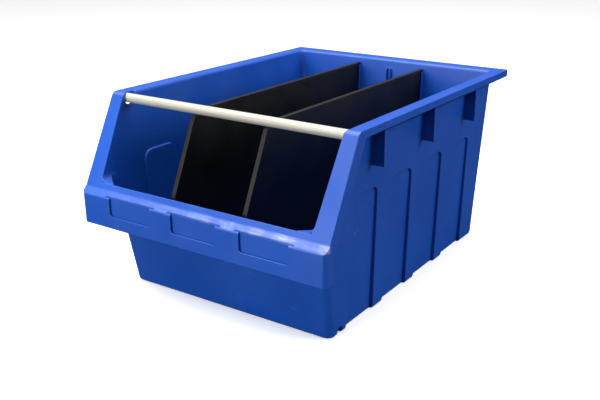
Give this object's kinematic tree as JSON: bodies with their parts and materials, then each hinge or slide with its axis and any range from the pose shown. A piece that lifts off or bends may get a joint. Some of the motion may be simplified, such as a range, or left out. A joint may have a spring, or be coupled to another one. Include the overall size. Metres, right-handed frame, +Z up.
{
  "type": "hanging parts bin",
  "caption": "Open-front moulded parts bin with a sloping front, a label lip, a round cross bar and loose lengthwise dividers.",
  "frame": {"origin": "on the floor, under the centre of the whole outline", "axes": "+X to the right seen from the open front, +Y to the rear, +Z up"},
  "size_m": [0.3, 0.4, 0.206],
  "materials": {
    "bin_plastic": "blue, satin moulded",
    "bar_coating": "off-white, satin",
    "divider_plastic": "black, low sheen"
  },
  "bodies": {
    "bin": {"bin_body": "bin_plastic"},
    "bar": {"cross_bar": "bar_coating"},
    "left_divider": {"divider_left": "divider_plastic"},
    "right_divider": {"divider_right": "divider_plastic"}
  },
  "joints": [
    {"name": "bar_spin", "type": "hinge", "parent": "bin", "child": "bar", "pos_m": [0, -0.1395, 0.1996], "axis": [1, 0, 0], "continuous": true},
    {"name": "left_divider_lift", "type": "slide", "parent": "bin", "child": "left_divider", "axis": [0, 0, 1], "range_m": [0, 0.0015]},
    {"name": "right_divider_lift", "type": "slide", "parent": "bin", "child": "right_divider", "axis": [0, 0, 1], "range_m": [0, 0.0015]}
  ]
}
